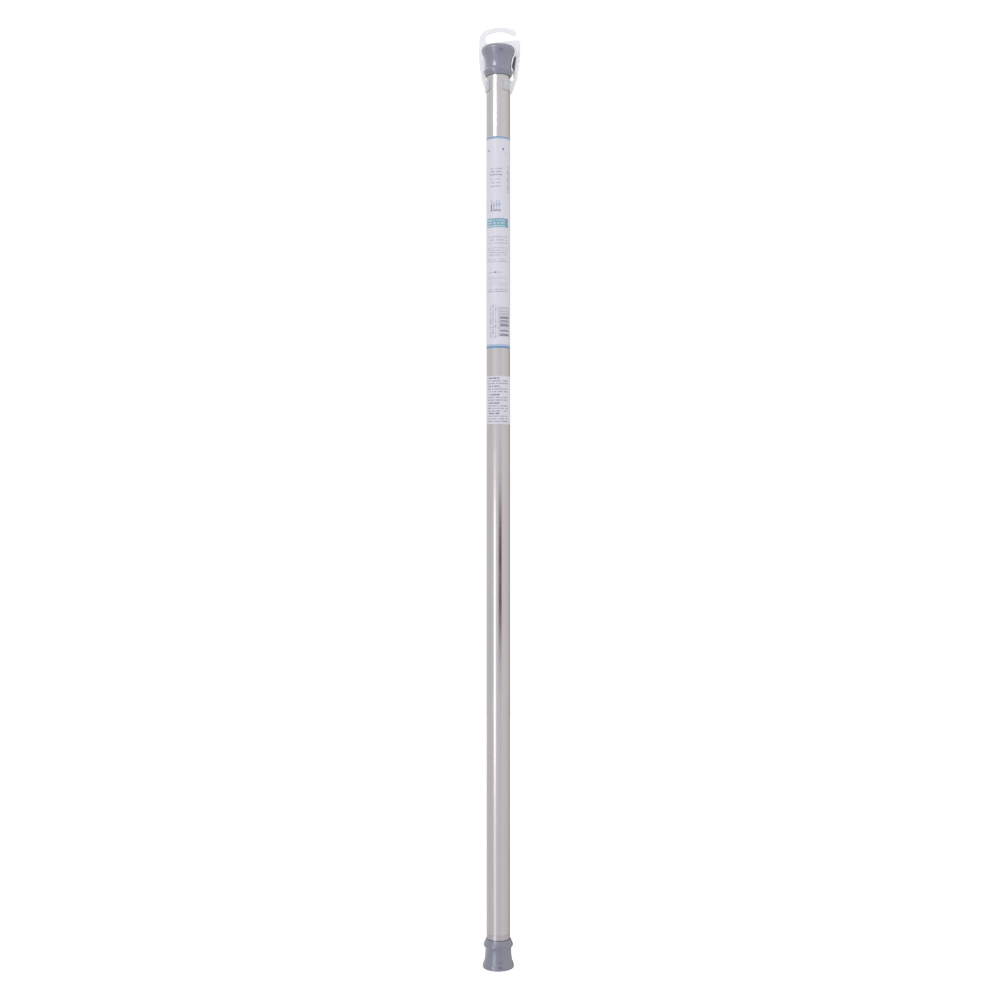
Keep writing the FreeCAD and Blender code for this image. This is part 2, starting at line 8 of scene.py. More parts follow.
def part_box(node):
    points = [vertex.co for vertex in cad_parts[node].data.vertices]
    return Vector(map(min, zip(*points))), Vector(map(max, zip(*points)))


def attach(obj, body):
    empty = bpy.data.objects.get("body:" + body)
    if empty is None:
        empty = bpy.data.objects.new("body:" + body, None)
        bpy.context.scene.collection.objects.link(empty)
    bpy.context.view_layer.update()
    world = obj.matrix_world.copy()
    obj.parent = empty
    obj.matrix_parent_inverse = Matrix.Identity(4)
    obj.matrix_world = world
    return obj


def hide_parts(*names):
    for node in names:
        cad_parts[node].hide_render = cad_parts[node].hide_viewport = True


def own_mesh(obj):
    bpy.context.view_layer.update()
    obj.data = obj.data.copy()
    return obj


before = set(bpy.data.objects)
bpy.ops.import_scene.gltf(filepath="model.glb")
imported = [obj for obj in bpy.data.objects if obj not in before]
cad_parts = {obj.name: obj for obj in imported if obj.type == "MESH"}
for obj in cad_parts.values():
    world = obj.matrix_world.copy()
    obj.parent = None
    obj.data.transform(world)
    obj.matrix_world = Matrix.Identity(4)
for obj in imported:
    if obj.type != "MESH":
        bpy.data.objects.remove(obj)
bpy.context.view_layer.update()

# Lengths are in metres. The bar stands on the origin along +Z and its front faces -Y.
MM = 0.001
TURN_STEPS = 128
SMOOTH_ANGLE = math.radians(32)
SHARP_ANGLE = math.radians(40)
FLAT_ANGLE = math.radians(0.5)
SLIVER = 0.005 * MM
WELD = 0.002 * MM

OUTER_BODY = "outer_tube_group"
INNER_BODY = "inner_tube_group"
HANGER_BODY = "hanger_group"


# ---------------------------------------------------------------- measuring the frame

def low(node):
    """The height of a node's lowest point."""
    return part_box(node)[0][2]


def high(node):
    """The height of a node's highest point."""
    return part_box(node)[1][2]


def radius_of(node):
    """Half a round node's width."""
    lowest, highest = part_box(node)
    return (highest[0] - lowest[0]) / 2


TUBE_RADIUS = radius_of("outer_tube")
INNER_RADIUS = radius_of("inner_tube")


# ---------------------------------------------------------------- mesh helpers

def piece_from(bm, name):
    """Closes and orients the mesh, and makes it a smooth-shaded object at the origin."""
    bmesh.ops.remove_doubles(bm, verts=bm.verts, dist=WELD)
    bmesh.ops.recalc_face_normals(bm, faces=bm.faces)
    mesh = bpy.data.meshes.new(name)
    bm.to_mesh(mesh)
    bm.free()
    mesh.shade_smooth()
    mesh.set_sharp_from_angle(angle=SMOOTH_ANGLE)
    piece = bpy.data.objects.new(name, mesh)
    bpy.context.collection.objects.link(piece)
    return piece


def turned_mesh(outline, rounds):
    """Spins a closed (radius, height) outline and rounds some rings, given as {corner number: width}."""
    bm = bmesh.new()
    corners = [bm.verts.new((radius, 0.0, height)) for radius, height in outline]
    sides = [bm.edges.new((corners[i - 1], corners[i])) for i in range(len(corners))]
    bmesh.ops.spin(
        bm, geom=corners + sides, cent=(0, 0, 0), axis=(0, 0, 1), dvec=(0, 0, 0),
        angle=math.tau, steps=TURN_STEPS, use_merge=True,
    )
    bmesh.ops.remove_doubles(bm, verts=bm.verts, dist=WELD)
    poles = [edge for edge in bm.edges if not edge.link_faces]
    bmesh.ops.delete(bm, geom=poles, context="EDGES")
    bmesh.ops.recalc_face_normals(bm, faces=bm.faces)
    for corner, width in rounds.items():
        radius, height = outline[corner]
        round_ring(bm, radius, height, width)
    return bm


def soften(bm, edges, width, segments):
    """Rounds the edges."""
    bmesh.ops.bevel(
        bm, geom=edges, offset=width, offset_type="OFFSET", affect="EDGES",
        segments=segments, profile=0.5, material=-1, clamp_overlap=True,
    )


def round_ring(bm, radius, height, width):
    """Rounds the ring of edges at one radius and height."""
    near = 0.01 * MM

    def on_ring(vert):
        return abs(vert.co.z - height) < near and abs(math.hypot(vert.co.x, vert.co.y) - radius) < near

    ring = [edge for edge in bm.edges if on_ring(edge.verts[0]) and on_ring(edge.verts[1])]
    soften(bm, ring, width, 3)


def softened_copy(node, width):
    """A copy of a frame node with its sharp edges rounded."""
    bm = bmesh.new()
    bm.from_mesh(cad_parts[node].data)
    bmesh.ops.remove_doubles(bm, verts=bm.verts, dist=WELD / 2)
    bmesh.ops.dissolve_limit(
        bm, angle_limit=FLAT_ANGLE, use_dissolve_boundaries=False,
        verts=bm.verts, edges=bm.edges, delimit=set(),
    )
    bmesh.ops.dissolve_degenerate(bm, dist=SLIVER, edges=bm.edges)
    inner_edges = [edge for edge in bm.edges if len(edge.link_faces) == 2]
    sharp = [edge for edge in inner_edges if edge.calc_face_angle(0.0) > SHARP_ANGLE]
    soften(bm, sharp, width, 3)
    return bm


def place(piece, body, slot, material, *nodes):
    """Rides the piece on its body, gives it its finish and hides the nodes that it stands for."""
    piece.data.materials.append(material)
    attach(piece, body)
    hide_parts(*nodes)


# ---------------------------------------------------------------- material helpers

class Finish:
    """One material, built from nodes that are added and linked in order."""

    def __init__(self, name):
        self.material = bpy.data.materials.new(name)
        self.material.use_nodes = True
        self.tree = self.material.node_tree
        self.shader = self.tree.nodes["Principled BSDF"]
        self.place = self.tree.nodes.new("ShaderNodeTexCoord").outputs["Object"]

    def node(self, kind, **settings):
        new = self.tree.nodes.new(kind)
        for key, value in settings.items():
            setattr(new, key, value)
        return new

    def feed(self, socket, value):
        """Links the socket to another socket, or sets it to a plain value."""
        if isinstance(value, bpy.types.NodeSocket):
            self.tree.links.new(value, socket)
        elif isinstance(value, tuple) and len(value) == 3 and len(socket.default_value) == 4:
            socket.default_value = (*value, 1.0)
        else:
            socket.default_value = value

    def math(self, operation, *values, clamp=False):
        new = self.node("ShaderNodeMath", operation=operation, use_clamp=clamp)
        for socket, value in zip(new.inputs, values):
            self.feed(socket, value)
        return new.outputs[0]

    def mix(self, share, first, second):
        """The first colour at share 0 and the second at share 1."""
        new = self.node("ShaderNodeMix", data_type="RGBA")
        colours = [socket for socket in new.inputs if socket.type == "RGBA"]
        self.feed(new.inputs["Factor"], share)
        self.feed(colours[0], first)
        self.feed(colours[1], second)
        return next(socket for socket in new.outputs if socket.type == "RGBA")

    def between(self, share, lowest, highest):
        """Turns a share from 0 to 1 into a value between two limits."""
        new = self.node("ShaderNodeMapRange")
        self.feed(new.inputs["Value"], share)
        self.feed(new.inputs["To Min"], lowest)
        self.feed(new.inputs["To Max"], highest)
        return new.outputs[0]

    def parts(self):
        """The place's three coordinates."""
        new = self.node("ShaderNodeSeparateXYZ")
        self.feed(new.inputs[0], self.place)
        return new.outputs["X"], new.outputs["Y"], new.outputs["Z"]

    def round_place(self):
        """The distance from the bar's axis and the height."""
        x, y, z = self.parts()
        radius = self.math("SQRT", self.math("MULTIPLY_ADD", y, y, self.math("MULTIPLY", x, x)))
        return radius, z

    def stretched(self, scale):
        """The place on the piece, multiplied by a different amount along each axis."""
        new = self.node("ShaderNodeMapping", vector_type="POINT")
        self.feed(new.inputs["Vector"], self.place)
        new.inputs["Scale"].default_value = scale
        return new.outputs[0]

    def grain(self, per_metre, vector=None, detail=3.0, rough=0.55):
        """Noise from 0 to 1 with about so many grains in a metre."""
        new = self.node("ShaderNodeTexNoise")
        self.feed(new.inputs["Vector"], self.place if vector is None else vector)
        new.inputs["Scale"].default_value = per_metre
        new.inputs["Detail"].default_value = detail
        new.inputs["Roughness"].default_value = rough
        return new.outputs["Fac"]

    def bump(self, height, depth, strength=1.0):
        """Raises the surface by height, from 0 to 1, times depth in metres."""
        new = self.node("ShaderNodeBump")
        new.inputs["Strength"].default_value = strength
        new.inputs["Distance"].default_value = depth
        self.feed(new.inputs["Height"], height)
        self.feed(self.shader.inputs["Normal"], new.outputs[0])

    def set(self, **values):
        """Sets the shader's inputs by name, with underscores for spaces."""
        for key, value in values.items():
            self.feed(self.shader.inputs[key.replace("_", " ")], value)
        return self.material


# ---------------------------------------------------------------- steel, plastic and wire finishes

def drawn_steel(name, light, dark, smoothest, roughest):
    """Plated tube: fine draw lines along the length, soft mottling and a few rubbed patches."""
    finish = Finish(name)
    lines = finish.grain(1.0, finish.stretched((1400, 1400, 9)), detail=4.0)
    mottle = finish.grain(26.0, detail=5.0, rough=0.6)
    rubbed = finish.math("MULTIPLY", finish.math("SUBTRACT", mottle, 0.52), 6.0, clamp=True)
    tone = finish.math("ADD", finish.math("MULTIPLY", lines, 0.55), finish.math("MULTIPLY", mottle, 0.45))
    colour = finish.mix(tone, dark, light)
    roughness = finish.math(
        "ADD", finish.between(lines, smoothest, roughest), finish.math("MULTIPLY", rubbed, 0.05)
    )
    finish.bump(lines, 0.012 * MM, 0.5)
    return finish.set(Base_Color=colour, Metallic=1.0, Roughness=roughness)


def moulded_plastic(name, light, dark, roughness, grain_depth, speck=0.0):
    """Injection-moulded plastic: cloudy colour, a fine skin and, if wanted, pale specks."""
    finish = Finish(name)
    cloud = finish.grain(90.0, detail=4.0)
    skin = finish.grain(3500.0, detail=2.0)
    colour = finish.mix(cloud, dark, light)
    if speck:
        dust = finish.math("GREATER_THAN", finish.grain(1800.0, detail=1.0), 0.68)
        colour = finish.mix(finish.math("MULTIPLY", dust, speck), colour, (0.62, 0.62, 0.64))
    finish.bump(skin, grain_depth, 0.6)
    return finish.set(Base_Color=colour, Roughness=finish.between(cloud, roughness - 0.05, roughness + 0.06))


VINYL_DULL = (0.138, 0.153, 0.225)
VINYL_FRESH = (0.172, 0.190, 0.275)
VINYL_STREAK = (0.104, 0.116, 0.172)
VINYL_BLOOM = (0.27, 0.285, 0.35)
# Painted shade: a dark ring round each cap's mouth, next to the tube, where shade falls as the tube goes in.
CREVICE_SHADE = (0.030, 0.015, 0.022)
CREVICE_REACH = 1.6 * MM
CREVICE_FADE = 1.0 * MM


def cap_vinyl(name, mouth, paleness=1.0):
    """Soft grey vinyl: cloudy and faintly streaked by the flow, with painted shade darkening it round the
    mouth.
    """
    finish = Finish(name)
    cloud = finish.grain(120.0, detail=5.0)
    streaks = finish.grain(1.0, finish.stretched((520, 520, 40)), detail=3.0)
    flow = finish.grain(1.0, finish.stretched((160, 160, 900)), detail=3.0)
    skin = finish.grain(2600.0, detail=3.0)
    dull, fresh, streak = [
        tuple(channel * paleness for channel in colour) for colour in (VINYL_DULL, VINYL_FRESH, VINYL_STREAK)
    ]
    body = finish.mix(cloud, dull, fresh)
    streaked = finish.mix(finish.math("MULTIPLY", streaks, 0.5), body, streak)
    bloom = finish.math("MULTIPLY", finish.math("SUBTRACT", flow, 0.5), 0.8, clamp=True)
    bloomed = finish.mix(bloom, streaked, VINYL_BLOOM)
    # Painted shade: darkens the vinyl close to the tube at the mouth.
    radius, height = finish.round_place()
    from_tube = finish.math("SUBTRACT", radius, TUBE_RADIUS)
    from_mouth = finish.math("ABSOLUTE", finish.math("SUBTRACT", height, mouth))
    near = finish.math("MULTIPLY_ADD", from_mouth, 0.6, from_tube)
    crevice = finish.math("DIVIDE", finish.math("SUBTRACT", CREVICE_REACH, near), CREVICE_FADE, clamp=True)
    colour = finish.mix(finish.math("MULTIPLY", crevice, 0.92), bloomed, CREVICE_SHADE)
    finish.bump(finish.math("ADD", skin, finish.math("MULTIPLY", flow, 0.6)), 0.05 * MM, 0.3)
    return finish.set(
        Base_Color=colour,
        Roughness=finish.between(cloud, 0.28, 0.38),
        IOR=1.54,
        Specular_IOR_Level=0.75,
        Coat_Weight=1.0,
        Coat_Roughness=0.22,
        Coat_IOR=2.0,
    )


# Where the painted shade lies on the hanger's web beside the upper cap, and its colour.
WEB_RADIUS = 19.2 * MM
WEB_SPREAD = 0.12
WEB_BELOW_MOUTH = 1.0 * MM
WEB_ABOVE_MOUTH = 27.0 * MM
WEB_SIDE_FADE = 1.0 * MM
WEB_TOP_FADE = 3.0 * MM
WEB_SHADE_GREY = (0.15, 0.15, 0.16)


def fade(finish, limit, value, width):
    """1 where the value is under the limit by the width, and 0 at the limit."""
    return finish.math("DIVIDE", finish.math("SUBTRACT", limit, value), width, clamp=True)


def clear_hanger_plastic():
    """Milky see-through plastic, with painted shade on its web beside the soft cap: dark and nearly opaque on
    the right, faint on the left.
    """
    finish = Finish("clear_hanger_plastic")
    cloud = finish.grain(70.0, detail=4.0)
    skin = finish.grain(900.0, detail=2.0)
    milky = finish.mix(cloud, (0.82, 0.86, 0.92), (0.90, 0.93, 0.97))
    radius, height = finish.round_place()
    mouth = low("upper_end_cap")
    edge = finish.math("MULTIPLY_ADD", finish.math("SUBTRACT", height, mouth), WEB_SPREAD, WEB_RADIUS)
    inside = fade(finish, edge, radius, WEB_SIDE_FADE)
    above = fade(finish, height, mouth - WEB_BELOW_MOUTH, WEB_SIDE_FADE)
    below = fade(finish, mouth + WEB_ABOVE_MOUTH, height, WEB_TOP_FADE)
    web = finish.math("MULTIPLY", inside, finish.math("MULTIPLY", above, below))
    # Painted shade: the web near the cap is greyed, strongly on the right and faintly on the left.
    right = finish.math("GREATER_THAN", finish.parts()[0], 0.0)
    grey = finish.math("MULTIPLY", web, finish.between(right, 0.08, 0.95))
    finish.bump(skin, 0.01 * MM, 0.15)
    return finish.set(
        Base_Color=finish.mix(grey, milky, WEB_SHADE_GREY),
        Roughness=finish.between(cloud, 0.22, 0.30),
        IOR=1.45,
        Alpha=finish.between(grey, 0.40, 0.97),
    )


def bare_metal(name, light, dark, roughness, lines_per_metre=1200.0):
    """Small machined or plated steel pieces, with turning lines and a dulled skin."""
    finish = Finish(name)
    lines = finish.grain(1.0, finish.stretched((180, 180, lines_per_metre * 4)), detail=3.0)
    mottle = finish.grain(420.0, detail=4.0)
    finish.bump(lines, 0.02 * MM, 0.4)
    return finish.set(
        Base_Color=finish.mix(mottle, dark, light),
        Metallic=1.0,
        Roughness=finish.between(lines, roughness - 0.06, roughness + 0.10),
    )


# ---------------------------------------------------------------- printed paper

class Print(Finish):
    """Paper on the tube, in mm: across is round from the front line, up is above the paper's lower edge."""

    def __init__(self, name, radius, bottom):
        super().__init__(name)
        x, y, z = self.parts()
        angle = self.math("ARCTAN2", x, self.math("MULTIPLY", y, -1.0))
        self.across = self.math("MULTIPLY", angle, radius / MM)
        self.up = self.math("DIVIDE", self.math("SUBTRACT", z, bottom), MM)
        self.ink = None

    def window(self, value, middle, width, soft=0.12):
        """1 where the value is within half the width of the middle, with a soft edge."""
        off = self.math("ABSOLUTE", self.math("SUBTRACT", value, middle))
        return self.math("DIVIDE", self.math("SUBTRACT", width / 2, off), soft, clamp=True)

    def box(self, across, up, width, height):
        return self.math(
            "MULTIPLY", self.window(self.across, across, width), self.window(self.up, up, height)
        )

    def greeked(self, along, over, start, pitch, thick, word, seed):
        """Bars at a pitch from a start, broken along their length into unreadable words."""
        steps = self.math("DIVIDE", self.math("SUBTRACT", over, start), pitch)
        bar = self.window(self.math("FRACT", steps), 0.5, thick / pitch, 0.25 / pitch)
        place = self.node("ShaderNodeCombineXYZ")
        self.feed(place.inputs[0], self.math("DIVIDE", along, word))
        self.feed(place.inputs[1], self.math("MULTIPLY_ADD", self.math("FLOOR", steps), 7.31, seed))
        letters = self.grain(1.0, place.outputs[0], detail=2.0, rough=0.7)
        words = self.math("MULTIPLY", self.math("SUBTRACT", letters, 0.38), 7.0, clamp=True)
        return self.math("MULTIPLY", bar, words)

    def lines(self, across, top, width, rows, pitch, thick, word=2.2, seed=0.0):
        """A block of unreadable rows under its top edge."""
        height = rows * pitch
        bars = self.greeked(self.across, self.up, top - height, pitch, thick, word, seed)
        return self.math("MULTIPLY", bars, self.box(across, top - height / 2, width, height))

    def columns(self, across, up, width, height, count, thick, word=2.2):
        """Unreadable rows turned to run up the tube, side by side."""
        bars = self.greeked(self.up, self.across, across - width / 2, width / count, thick, word, up)
        return self.math("MULTIPLY", bars, self.box(across, up, width, height))

    def stripes(self, across, up, width, height, fineness, threshold):
        """Plain bars of uneven thickness, stacked up the tube."""
        place = self.node("ShaderNodeCombineXYZ")
        self.feed(place.inputs[0], self.math("MULTIPLY", self.up, fineness))
        bars = self.grain(1.0, place.outputs[0], detail=1.0)
        dark = self.math("MULTIPLY", self.math("SUBTRACT", bars, threshold), 14.0, clamp=True)
        return self.math("MULTIPLY", dark, self.box(across, up, width, height))

    def lay(self, mask, colour, strength=1.0):
        """Prints a colour over what is there, where the mask is 1."""
        self.ink = self.mix(self.math("MULTIPLY", mask, strength), self.ink, colour)

    def paper(self, light, dark):
        fibre = self.grain(900.0, detail=5.0, rough=0.7)
        self.ink = self.mix(fibre, dark, light)
        return fibre


INK = (0.16, 0.16, 0.23)
PALE_INK = (0.34, 0.35, 0.43)
BAND_BLUE = (0.10, 0.25, 0.45)
BAND_PALE = (0.36, 0.52, 0.70)
PANEL_TEAL = (0.13, 0.37, 0.48)
PANEL_MARKS = (0.66, 0.78, 0.88)
MARK_BLUE = (0.12, 0.16, 0.42)


def label_print():
    """The wrap label: edge bands, rows, a drawn strip, a coloured panel, text blocks and a bar panel."""
    sheet = Print("label_print", TUBE_RADIUS, low("product_label"))
    height = (high("product_label") - low("product_label")) / MM
    fibre = sheet.paper((0.79, 0.805, 0.885), (0.73, 0.745, 0.825))
    round_width = math.tau * TUBE_RADIUS / MM
    sheet.lay(sheet.box(0, 2.9, round_width, 5.2), BAND_PALE, 0.7)
    sheet.lay(sheet.box(0, 1.8, round_width, 2.8), BAND_BLUE, 0.8)
    sheet.lay(sheet.box(0, height - 2.0, round_width, 3.0), BAND_PALE, 0.7)
    sheet.lay(sheet.box(0, height - 1.2, round_width, 1.6), BAND_BLUE, 0.8)
    # Small marks below the upper band
    sheet.lay(sheet.box(-13.0, 235.6, 4.6, 2.6), MARK_BLUE, 0.5)
    sheet.lay(sheet.box(6.0, 236.8, 2.0, 2.8), MARK_BLUE, 0.9)
    sheet.lay(sheet.lines(12.0, 233.5, 10.0, 1, 2.0, 0.9), PALE_INK, 0.5)
    # Centred rows and the side column
    sheet.lay(sheet.lines(-3.0, 215.5, 15.5, 3, 3.6, 1.7), INK, 0.72)
    sheet.lay(sheet.lines(-3.6, 203.2, 13.5, 3, 4.2, 1.5), INK, 0.55)
    sheet.lay(sheet.columns(13.6, 201.7, 5.6, 32.0, 2, 1.6), INK, 0.6)
    # Drawn strip: small uprights on a base line
    sheet.lay(sheet.columns(-3.8, 170.6, 13.0, 10.6, 4, 2.0, word=3.0), MARK_BLUE, 0.6)
    sheet.lay(sheet.box(-8.4, 168.4, 1.8, 6.0), INK, 0.7)
    sheet.lay(sheet.lines(-3.8, 165.6, 14.0, 1, 3.0, 2.2, word=1.2), INK, 0.85)
    # Coloured panel with pale marks
    sheet.lay(sheet.box(-1.5, 149.4, 29.5, 10.7), PANEL_TEAL, 0.95)
    sheet.lay(sheet.lines(-3.5, 153.9, 24.0, 3, 3.2, 2.2, word=1.5), PANEL_MARKS, 0.85)
    # Text blocks: top edge, rows, pitch and strength
    for top, rows, pitch, strength in (
        (134.4, 3, 3.6, 0.55), (121.2, 4, 2.9, 0.55), (107.2, 2, 2.5, 0.65),
        (85.6, 2, 1.8, 0.65), (80.8, 4, 2.0, 0.48), (71.6, 2, 2.5, 0.85),
    ):
        block = sheet.lines(-1.5, top, 28.0, rows, pitch, pitch / 2, word=4.0, seed=top)
        sheet.lay(block, PALE_INK, strength)
    # Size line with its end dot
    sheet.lay(sheet.box(-4.6, 90.6, 17.0, 0.9), PALE_INK, 0.7)
    sheet.lay(sheet.box(-3.6, 90.6, 2.0, 2.0), INK, 0.95)
    # Turned columns and the bar panel
    sheet.lay(sheet.columns(-6.6, 32.6, 10.0, 40.0, 3, 2.4), INK, 0.42)
    sheet.lay(sheet.columns(0.2, 33.0, 3.0, 36.0, 1, 1.6), PALE_INK, 0.5)
    sheet.lay(sheet.stripes(8.2, 31.9, 14.6, 35.8, 0.85, 0.46), INK, 0.55)
    for up, thick in ((36.6, 2.6), (32.8, 1.6), (28.2, 3.0), (21.4, 1.8), (16.4, 2.6)):
        sheet.lay(sheet.box(8.6, up, 12.6, thick), INK, 0.72)
    # Back of the sleeve: plain blocks of rows and the line where the sheet laps over itself
    for side in (-30.0, 30.0):
        for top in (232.0, 178.0, 124.0, 70.0):
            sheet.lay(sheet.lines(side, top, 20.0, 11, 3.4, 1.4, seed=top), PALE_INK, 0.6)
    lap = sheet.box(round_width / 2 - 4.0, height / 2, 0.25, height)
    sheet.lay(lap, PALE_INK, 0.6)
    sheet.bump(sheet.math("SUBTRACT", fibre, lap), 0.02 * MM, 0.4)
    return sheet.set(
        Base_Color=sheet.ink,
        Roughness=sheet.between(fibre, 0.34, 0.46),
        Coat_Weight=0.3,
        Coat_Roughness=0.16,
    )


def sticker_print():
    """The lower sticker: five bold headings, each over two or three thin rows."""
    sheet = Print("sticker_print", TUBE_RADIUS, low("info_sticker"))
    fibre = sheet.paper((0.79, 0.79, 0.86), (0.73, 0.73, 0.80))
    for up, rows in ((54.4, 2), (44.8, 2), (34.7, 2), (24.8, 3), (12.5, 3)):
        sheet.lay(sheet.lines(-6.2, up + 1.2, 15.5, 1, 2.4, 1.9, word=1.6, seed=up), INK, 0.95)
        sheet.lay(sheet.lines(-1.5, up - 1.7, 28.5, rows, 3.1, 1.7, word=2.4, seed=up), INK, 0.62)
    sheet.bump(fibre, 0.02 * MM, 0.4)
    return sheet.set(
        Base_Color=sheet.ink,
        Roughness=sheet.between(fibre, 0.40, 0.52),
        Coat_Weight=0.15,
        Coat_Roughness=0.25,
    )


# ---------------------------------------------------------------- tubes

TUBE_WALL = 0.5 * MM
BORE_ROUND = 0.12 * MM
RIM_ROUND = 0.2 * MM


def tube_mesh(radius, bottom, top):
    """A tube with its cut ends lightly rolled in."""
    bore = radius - TUBE_WALL
    outline = [(bore, bottom), (radius, bottom), (radius, top), (bore, top)]
    return turned_mesh(outline, {0: BORE_ROUND, 1: RIM_ROUND, 2: RIM_ROUND, 3: BORE_ROUND})


def outer_tube():
    steel = drawn_steel("outer_tube_steel", (0.66, 0.645, 0.65), (0.58, 0.565, 0.57), 0.17, 0.24)
    bm = tube_mesh(TUBE_RADIUS, low("outer_tube"), high("outer_tube"))
    place(piece_from(bm, "outer_tube_shell"), OUTER_BODY, "outer_tube_steel", steel, "outer_tube")


def inner_tube():
    steel = drawn_steel("inner_tube_steel", (0.64, 0.635, 0.64), (0.56, 0.555, 0.56), 0.15, 0.22)
    bm = tube_mesh(INNER_RADIUS, low("inner_tube"), high("inner_tube"))
    place(piece_from(bm, "inner_tube_shell"), INNER_BODY, "inner_tube_steel", steel, "inner_tube")


# ---------------------------------------------------------------- end caps

# Walls outwards from the bore, the bead's distance from the mouth and the foot's corner radius, in mm
LOWER_CAP = {"waist": 2.95, "bead": 5.2, "rim": 2.1, "bead_below_mouth": 7.7, "corner": 1.2}
UPPER_CAP = {"waist": 1.6, "bead": 3.7, "rim": 1.0, "bead_below_mouth": 5.5, "corner": 4.0}
TREAD_GROOVES = ((5.3, 6.7), (10.8, 12.2))
TREAD_DEPTH = 0.6 * MM
FOOT_BAND = 2.0 * MM
FOOT_SLOPE = 4.2 * MM
FOOT_STEP = 0.6 * MM
STEP_SHARE = 0.55
FLARE_WALL = 0.25 * MM
FLARE_BELOW_BEAD = 12.5 * MM
WAIST_BELOW_BEAD = 8.3 * MM
WAIST_TOP_BELOW_BEAD = 3.8 * MM
BEAD_HALF_HEIGHT = 0.7 * MM


def cap_mesh(sizes, foot, bore, height, floor):
    """One cap with its foot face at height 0 and its mouth upwards. Walls are measured out from the bore."""
    waist = bore + sizes["waist"] * MM
    bead = bore + sizes["bead"] * MM
    rim = bore + sizes["rim"] * MM
    corner = sizes["corner"] * MM
    bead_height = height - sizes["bead_below_mouth"] * MM
    band_top = corner + FOOT_BAND
    step_height = band_top + FOOT_SLOPE
    step = waist + (foot - waist) * STEP_SHARE
    outline = [(0.0, 0.0)]
    for inside, outside in TREAD_GROOVES:
        inside *= MM
        outside *= MM
        outline += [(inside, 0.0), (inside, TREAD_DEPTH), (outside, TREAD_DEPTH), (outside, 0.0)]
    first = len(outline)
    outline += [
        (foot, 0.0),
        (foot, band_top),
        (step, step_height),
        (step - FOOT_STEP, step_height + FOOT_STEP),
        (waist + FLARE_WALL, bead_height - FLARE_BELOW_BEAD),
        (waist, bead_height - WAIST_BELOW_BEAD),
        (waist, bead_height - WAIST_TOP_BELOW_BEAD),
        (bead, bead_height - BEAD_HALF_HEIGHT),
        (bead, bead_height + BEAD_HALF_HEIGHT),
        (rim, height),
        (bore, height),
        (bore, floor),
        (0.0, floor),
    ]
    widths = (sizes["corner"], 1.5, 0.5, 0.8, 2.0, 0.0, 1.2, 0.65, 0.65, 0.5, 0.6)
    rounds = {first + index: width * MM for index, width in enumerate(widths) if width}
    return turned_mesh(outline, rounds)


def lower_cap():
    vinyl = cap_vinyl("lower_cap_vinyl", high("lower_end_cap"))
    bm = cap_mesh(
        LOWER_CAP, radius_of("lower_end_cap"), INNER_RADIUS, high("lower_end_cap"), low("lower_tube_plug")
    )
    place(piece_from(bm, "lower_cap_moulding"), INNER_BODY, "lower_cap_vinyl", vinyl, "lower_end_cap")


def upper_cap():
    end = high("upper_end_cap")
    mouth = low("upper_end_cap")
    vinyl = cap_vinyl("upper_cap_vinyl", mouth, paleness=1.2)
    bm = cap_mesh(
        UPPER_CAP, radius_of("upper_end_cap"), TUBE_RADIUS, end - mouth, end - high("upper_tube_plug")
    )
    bmesh.ops.rotate(bm, verts=bm.verts, cent=(0, 0, 0), matrix=Matrix.Rotation(math.pi, 3, "X"))
    bmesh.ops.translate(bm, verts=bm.verts, vec=(0, 0, end))
    place(piece_from(bm, "upper_cap_moulding"), OUTER_BODY, "upper_cap_vinyl", vinyl, "upper_end_cap")


# ---------------------------------------------------------------- hanger

HANGER_EDGE_ROUND = 0.35 * MM


def hanger():
    bm = softened_copy("hanger", HANGER_EDGE_ROUND)
    place(piece_from(bm, "hanger_moulding"), HANGER_BODY, "clear_plastic", clear_hanger_plastic(), "hanger")


# ---------------------------------------------------------------- spring

WIRE_RADIUS = 1.0 * MM
CLOSED_PITCH = 2.1 * WIRE_RADIUS
OPEN_TURNS = 7
STEPS_IN_TURN = 36
WIRE_SIDES = 12
SPRING_AIR = 0.05 * MM


def coiled_wire(reach, bottom, top):
    """Round wire wound up from the bottom, with one closed turn at each end."""
    open_pitch = (top - bottom - 2 * CLOSED_PITCH) / OPEN_TURNS
    bm = bmesh.new()
    made = bmesh.ops.create_circle(
        bm, segments=WIRE_SIDES, radius=WIRE_RADIUS,
        matrix=Matrix.Translation((reach, 0, bottom)) @ Matrix.Rotation(math.pi / 2, 4, "X"),
    )
    ends = made["verts"] + list(bm.edges)
    for pitch, turns in ((CLOSED_PITCH, 1), (open_pitch, OPEN_TURNS), (CLOSED_PITCH, 1)):
        turned = bmesh.ops.spin(
            bm, geom=ends, cent=(0, 0, 0), axis=(0, 0, 1), dvec=(0, 0, pitch / STEPS_IN_TURN),
            angle=math.tau * turns, steps=STEPS_IN_TURN * turns, use_merge=False,
        )
        ends = turned["geom_last"]
    bmesh.ops.holes_fill(bm, edges=[edge for edge in bm.edges if edge.is_boundary])
    return bm


def grind_flat(bm, height, outwards):
    """Cuts away what lies beyond a height and closes the cut."""
    cut = bmesh.ops.bisect_plane(
        bm, geom=[*bm.verts, *bm.edges, *bm.faces], dist=0.0001 * MM,
        plane_co=(0, 0, height), plane_no=(0, 0, outwards), clear_outer=True,
    )
    rim = [item for item in cut["geom_cut"] if isinstance(item, bmesh.types.BMEdge)]
    bmesh.ops.holes_fill(bm, edges=rim)


